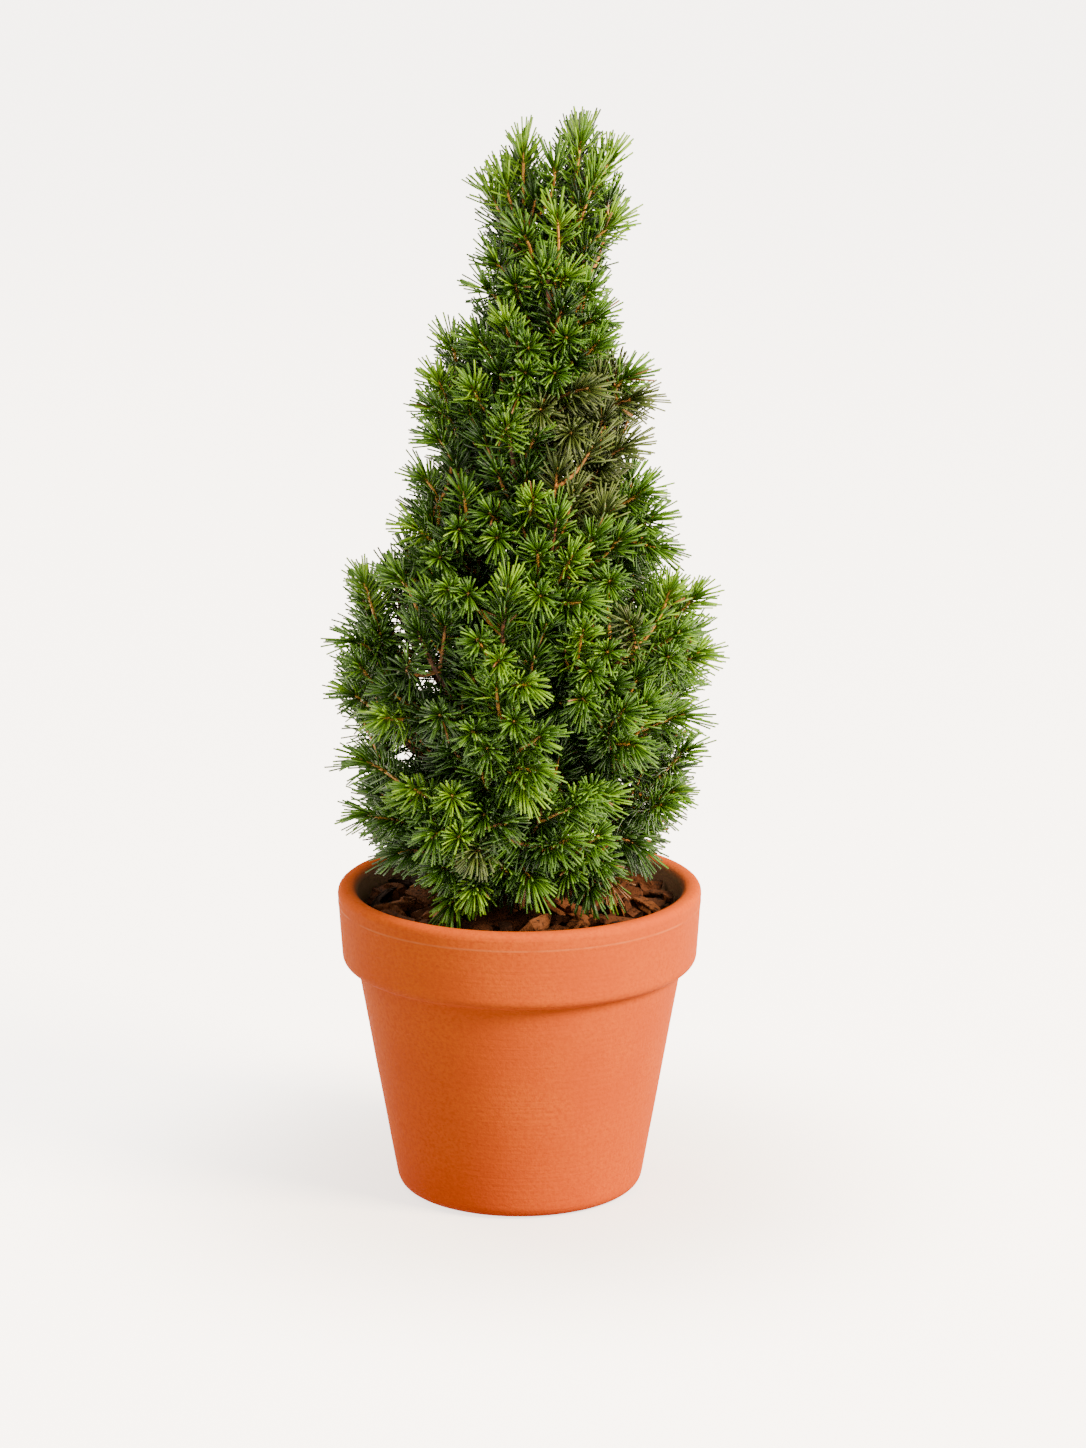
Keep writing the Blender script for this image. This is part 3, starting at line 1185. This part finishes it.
def needle_pieces(shoots, settings):
    """The needles, dealt by tint into pieces of one plain colour, each under the piece's limit."""
    rows, levels, tints = needle_rows(shoots, settings)
    greens = [f"green_{number}" for number in range(1, 7)]
    kind = np.clip(np.round(levels), 0, len(greens) - 1).astype(int)
    rng = np.random.default_rng((SEED, 5))
    kind = np.where(tints == "y", len(greens) + (levels > 2.9), kind)
    browned = (tints == "r") & (rng.uniform(size=len(kind)) < 0.6)
    browned |= rng.uniform(size=len(kind)) < 0.004
    kind = np.where(browned, len(greens) + 2, kind)
    masses = nodes_named("foliage_")
    radii = np.array((0.85, 1.0, 1.0)) * settings.needle_width / 2
    for number, name in enumerate((*greens, "grey_light", "grey_deep", "browned")):
        surface = needle_wax(f"Spruce needle {name}", getattr(settings, name), settings)
        chosen = rows[kind == number]
        for part in range(math.ceil(len(chosen) / MOST_NEEDLES)):
            some = chosen[part * MOST_NEEDLES : (part + 1) * MOST_NEEDLES]
            turn = np.arange(len(some))[:, None, None] * 1.3
            shape = tubes(some, np.broadcast_to(radii, (len(some), 3)), 3, turn)
            piece = f"needles_{name}_{part + 1}"
            dress(piece, shape, surface, masses)


# ---------------------------------------------------------------- settings


def amount(name, value, description, **kind):
    """A number property that is never negative."""
    return FloatProperty(name=name, description=description, default=value, min=0.0, **kind)


def colour(name, code, description):
    """A colour property given as sRGB hex."""
    return FloatVectorProperty(name=name, description=description, subtype="COLOR", size=3,
                               min=0.0, max=1.0, default=linear(code))


def size(name, metres, description):
    """A length property in metres."""
    return amount(name, metres, description, subtype="DISTANCE", unit="LENGTH", precision=4)


def share(name, value, description):
    """A plain number from 0 to 1."""
    return amount(name, value, description, max=1.0, subtype="FACTOR")


def power(name, watts, description):
    """A lamp's power in watts."""
    return amount(name, watts, description, unit="POWER")


def whole(name, value, description):
    """A whole number from 1 up."""
    return IntProperty(name=name, description=description, default=value, min=1)


class SPRUCE_PG_pot(PropertyGroup):
    """The clay pot's colours and skin."""

    clay: colour("Clay", "C2500A", "The fired clay's main colour")
    clay_pale: colour("Pale clay", "C9590A", "Where the clay fired paler")
    clay_deep: colour("Deep clay", "BA4C0A", "Where the clay fired deeper")
    clay_speck: colour("Specks", "B0480F", "Fine grog specks in the clay")
    clay_damp: colour("Damp clay", "96755E", "Inner wall beside the damp mulch")
    clay_seam: colour("Seam", "C86630", "The rubbed mould seam on the rim")
    clay_roughness: share("Clay roughness", 0.72, "How matt the clay is")


class SPRUCE_PG_mulch(PropertyGroup):
    """The bark mulch and the mix under it."""

    chips: whole("Chips", 300, "How many bark chips")
    chip_short: size("Shortest chip", 9.0 * MM, "Length of the smallest chips")
    chip_long: size("Longest chip", 20.0 * MM, "Length of the largest chips")
    bed_height: size("Bed height", 118.5 * MM, "Height of the dark bed under the chips")
    mulch_depth: size("Mulch depth", 7.5 * MM, "Depth of the layer of chips")
    chip: colour("Chip", "502D18", "A bark chip's main colour")
    chip_dark: colour("Dark chip", "1E1009", "The darkest bark")
    chip_pale: colour("Pale chip", "6E4224", "Torn, fibrous bark")
    mix: colour("Mix", "1C120C", "Damp potting mix")
    mix_crumb: colour("Crumb", "3A2517", "Paler crumbs in the mix")


class SPRUCE_PG_limbs(PropertyGroup):
    """The trunk, boughs and limbs."""

    bough_radius: size("Bough radius", BOUGH_RADIUS, "A bough's radius at the trunk")
    stem_radius: size("Stem radius", 1.7 * MM, "A lesser limb's radius at the trunk")
    limb_tip_radius: size("Limb tip radius", 0.8 * MM, "Every limb's radius at its tip")
    bark: colour("Bark", "885632", "The trunk and boughs")
    bark_dark: colour("Dark bark", "3C2417", "Cracks between the bark's plates")


class SPRUCE_PG_foliage(PropertyGroup):
    """The shoots and needles."""

    tries: whole("Tries", 64, "Tries for each new shoot")
    misses: whole("Misses", 14, "Misses that end a mass")
    shoot_length: size("Shoot length", 42.0 * MM, "Longest shoot of the first order")
    twig_length: size("Twig length", 28.0 * MM, "Longest shoot of the second order")
    spacing: size("Spacing", 10.2 * MM, "Distance between shoot tips on the outline")
    inner_spacing: size("Inner spacing", 6.5 * MM, "What it grows by towards the trunk")
    twig_radius: size("Twig radius", 1.0 * MM, "A shoot's radius at its foot")
    front_reach: share("Front reach", 0.86, "How far out the fill stands at the front")
    pocket_size: size("Pocket size", 21.0 * MM, "Width of the dark pockets between shoots")
    pocket_level: share("Pocket level", 0.3, "Noise level above which a pocket opens")
    pocket_reach: share("Pocket reach", 0.66, "How far out shoots stand in a pocket")
    needled: size("Needled length", 27.0 * MM, "How much of a shoot bears needles")
    stem_bare: share("Bare limb", 0.4, "How much of a mass's own limb bears no needles")
    density: amount("Needles per mm", 2.1, "Needles on a millimetre of shoot")
    crown_needles: whole("Tip needles", 32, "Needles round a tip")
    parting: share("Parting", 0.6, "How narrow the parting that shows the stalk is")
    needle_length: size("Needle length", 11.0 * MM, "A needle's length")
    needle_width: size("Needle width", 0.86 * MM, "A needle's width")
    needle_curl: share("Needle curl", 0.28, "How far a needle curves forward, of its length")
    needle_sag: share("Needle sag", 0.25, "How far a needle bends down, of its length")
    needle_roughness: share("Needle roughness", 0.37, "How matt a needle's wax is")
    needle_gloss: share("Needle gloss", 0.33, "How strongly a needle's wax shines")
    green_1: colour("Green 1", "74A20E", "The brightest new tips")
    green_2: colour("Green 2", "5A8A0E", "New growth")
    green_3: colour("Green 3", "44700E", "Middle green")
    green_4: colour("Green 4", "345B0E", "Last year's green")
    green_5: colour("Green 5", "27470A", "Deep green")
    green_6: colour("Green 6", "18330A", "The crown's inside")
    grey_light: colour("Pale grey green", "50622A", "Older shoots, paler")
    grey_deep: colour("Grey green", "364418", "Older shoots")
    browned: colour("Browned", "7A5128", "Dried needles")
    young_bark: colour("Young bark", "D49A34", "This year's stalks")
    young_bark_dark: colour("Young bark, dark", "A8702A", "Ridges on this year's stalks")
    old_bark: colour("Old bark", "B0762E", "Older twigs")
    old_bark_dark: colour("Old bark, dark", "704618", "Cracks on older twigs")
    dry_bark: colour("Dry bark", "8E6840", "Dried twigs")
    dry_twigs: whole("Dry twigs", 16, "How many bare twigs")
    bud: colour("Bud", "A8842C", "Bud scales")
    bud_dark: colour("Bud, dark", "7E5A1C", "Edges of the bud scales")


class SPRUCE_PG_stage(PropertyGroup):
    """The floor and the lights."""

    floor: colour("Floor", "F4F0EA", "The plain pale floor")
    floor_width: size("Floor width", 30.0, "Width of the floor")
    floor_glow: amount("Floor glow", 5.2, "Light the floor gives of its own")
    card: colour("Card", "C89070", "The dim card under the pot")
    card_glow: amount("Card glow", 0.45, "Light the card gives of its own")
    card_width: size("Card width", 300.0 * MM, "The card's width")
    card_depth: size("Card depth", 240.0 * MM, "The card's depth")
    key: colour("Key", "FFE4C2", "The key light's colour")
    key_power: power("Key light", 250.0, "Power of the key light")
    fill_power: power("Fill light", 10.0, "Power of the fill light")
    back_power: power("Back light", 45.0, "Power of the back light")
    sky: colour("Sky", "FFF5E8", "The even light from all round")
    sky_strength: amount("Sky strength", 1.07, "Strength of the even light")


class SPRUCE_PG_settings(PropertyGroup):
    """Every setting of the potted spruce."""

    pot: PointerProperty(type=SPRUCE_PG_pot)
    mulch: PointerProperty(type=SPRUCE_PG_mulch)
    limbs: PointerProperty(type=SPRUCE_PG_limbs)
    foliage: PointerProperty(type=SPRUCE_PG_foliage)
    stage: PointerProperty(type=SPRUCE_PG_stage)


# ---------------------------------------------------------------- operators

FLOOR_DROP = 0.2 * MM  # how far the floor and the card lie under the pot's foot
CARD_DROP = 0.4 * MM
GLOW_BAND = (40 * MM, 260 * MM)  # how far from the pot's axis the floor's glow rises to full
LEAST_GLOW = 0.45
LIT_POINT = (0.0, 0.0, 0.22)
LENS = 111.47
CAMERA_DIP = 13.96  # degrees below the level


def sheet(name, width, depth, drop, surface):
    """A level rectangle round the axis, this far under the pot's foot."""
    half = np.array((width, depth, 0.0)) / 2
    corners = half * ((-1, -1, 0), (1, -1, 0), (1, 1, 0), (-1, 1, 0)) - UP * drop
    return mesh_piece(name, corners, [np.array([[0, 1, 2, 3]])], surface, smooth=False)


class SPRUCE_OT_pot(Operator):
    """Build the turned clay pot in place of its solid"""

    bl_idname = "spruce.pot"
    bl_label = "Clay Pot"

    def execute(self, context):
        surface = terracotta(context.scene.spruce.pot)
        dress("clay_pot", pot_shape(), surface, ["pot"])
        return {"FINISHED"}


class SPRUCE_OT_mulch(Operator):
    """Strew the bark chips over their dark bed"""

    bl_idname = "spruce.mulch"
    bl_label = "Bark Mulch"

    def execute(self, context):
        settings = context.scene.spruce.mulch
        *shape, tone = chip_shapes(settings)
        chips = dress("bark_chips", shape, bark_chip(settings), ["bark_mulch"], False)
        chips.data.attributes.new("tone", "FLOAT", "POINT").data.foreach_set("value", tone)
        mix = potting_mix(settings)
        dress("mulch_bed", bed_shape(settings), mix, ["bark_mulch"])
        for slot in bpy.data.objects["potting_mix"].material_slots:
            slot.material = mix
        return {"FINISHED"}


class SPRUCE_OT_limbs(Operator):
    """Build the trunk, the boughs and every mass's own limb, with bark relief"""

    bl_idname = "spruce.limbs"
    bl_label = "Trunk and Limbs"

    def execute(self, context):
        settings = context.scene.spruce.limbs
        shape = join_shapes(trunk_shape(), limb_shapes(plan_masses(), settings))
        surface = spruce_bark("Spruce bark", settings.bark, settings.bark_dark, 0.85)
        solids = nodes_named("trunk", "bough_")
        dress("trunk_and_limbs", shape, surface, solids)
        return {"FINISHED"}


class SPRUCE_OT_foliage(Operator):
    """Grow every shoot of the crown and deal out its needles"""

    bl_idname = "spruce.foliage"
    bl_label = "Shoots and Needles"

    def execute(self, context):
        settings = context.scene.spruce.foliage
        shoots, masses = grow_crown(settings)
        twig_pieces(shoots, settings, len(masses))
        dry_twigs(settings)
        needle_pieces(shoots, settings)
        return {"FINISHED"}


class SPRUCE_OT_stage(Operator):
    """Set the pale floor, the soft studio lights and the camera"""

    bl_idname = "spruce.stage"
    bl_label = "Stage"

    def execute(self, context):
        settings = context.scene.spruce.stage
        surface, tree, shader = new_material(
            "Pale floor", settings.floor, 0.9, Specular_IOR_Level=0.0,
            Emission_Color=(1.0, 0.93, 0.87, 1.0))
        place = add_node(tree, "TexCoord", "Object")
        apart = add_node(tree, "VectorMath", "Value", {"operation": "LENGTH"}, Vector=place)
        glow = add_node(
            tree, "MapRange", "Result", {"interpolation_type": "SMOOTHERSTEP"},
            Value=apart, From_Min=GLOW_BAND[0], From_Max=GLOW_BAND[1],
            To_Min=settings.floor_glow * LEAST_GLOW, To_Max=settings.floor_glow)
        set_sockets(tree, shader, {"Emission Strength": glow})
        floor = sheet("floor", settings.floor_width, settings.floor_width, FLOOR_DROP, surface)
        floor.visible_diffuse = False

        # A dim card under the pot holds back the light that would rise onto its foot
        surface, _, _ = new_material(
            "Shade card", settings.card, 0.9, Specular_IOR_Level=0.0,
            Emission_Color=(*settings.card, 1.0), Emission_Strength=settings.card_glow)
        card = sheet("shade_card", settings.card_width, settings.card_depth, CARD_DROP, surface)
        card.visible_camera = card.visible_glossy = False

        world = bpy.data.worlds.new("Studio")
        world.use_nodes = True
        sky = world.node_tree.nodes["Background"]
        sky.inputs["Color"].default_value = (*settings.sky, 1.0)
        sky.inputs["Strength"].default_value = settings.sky_strength
        context.scene.world = world

        lights = (
            ("key", (1.9, -1.1, 1.6), 0.9, settings.key_power),
            ("fill", (-2.0, -2.0, 1.4), 1.6, settings.fill_power),
            ("back", (-1.6, 1.7, 1.5), 1.2, settings.back_power),
        )
        for name, place, width, power in lights:
            lamp = bpy.data.lights.new(name, "AREA")
            lamp.size, lamp.energy, lamp.color = width, power, settings.key
            shown = bpy.data.objects.new(name, lamp)
            shown.location = place
            aim = Vector(LIT_POINT) - Vector(place)
            shown.rotation_euler = aim.to_track_quat("-Z", "Y").to_euler()
            context.scene.collection.objects.link(shown)

        lens = bpy.data.cameras.new("camera")
        lens.lens = LENS
        lens.clip_end = 60.0
        camera = bpy.data.objects.new("camera", lens)
        camera.location = CAMERA_PLACE
        camera.rotation_euler = (math.radians(90.0 - CAMERA_DIP), 0.0, 0.0)
        context.scene.collection.objects.link(camera)
        context.scene.camera = camera
        return {"FINISHED"}


OPERATORS = (SPRUCE_OT_pot, SPRUCE_OT_mulch, SPRUCE_OT_limbs, SPRUCE_OT_foliage, SPRUCE_OT_stage)


class SPRUCE_PT_panel(Panel):
    """Lists the pieces of the potted spruce and their settings"""

    bl_idname = "SPRUCE_PT_panel"
    bl_label = "Potted Spruce"
    bl_space_type = "VIEW_3D"
    bl_region_type = "UI"
    bl_category = "Spruce"

    def draw(self, context):
        layout = self.layout
        for operator in OPERATORS:
            layout.operator(operator.bl_idname)
        for name in ("pot", "mulch", "limbs", "foliage", "stage"):
            group = getattr(context.scene.spruce, name)
            box = layout.box()
            box.label(text=name.capitalize())
            for key in group.bl_rna.properties.keys():
                if key not in ("rna_type", "name"):
                    box.prop(group, key)


CLASSES = (
    SPRUCE_PG_pot,
    SPRUCE_PG_mulch,
    SPRUCE_PG_limbs,
    SPRUCE_PG_foliage,
    SPRUCE_PG_stage,
    SPRUCE_PG_settings,
    *OPERATORS,
    SPRUCE_PT_panel,
)


def register():
    """Register every class and hang the settings on the scene."""
    for made in CLASSES:
        bpy.utils.register_class(made)
    bpy.types.Scene.spruce = PointerProperty(type=SPRUCE_PG_settings)


def unregister():
    """Take the settings and the classes away again."""
    del bpy.types.Scene.spruce
    for made in reversed(CLASSES):
        bpy.utils.unregister_class(made)


def main():
    """Build every piece in order."""
    register()
    bpy.ops.spruce.pot()
    bpy.ops.spruce.mulch()
    bpy.ops.spruce.limbs()
    bpy.ops.spruce.foliage()
    bpy.ops.spruce.stage()


if __name__ == "__main__":
    main()
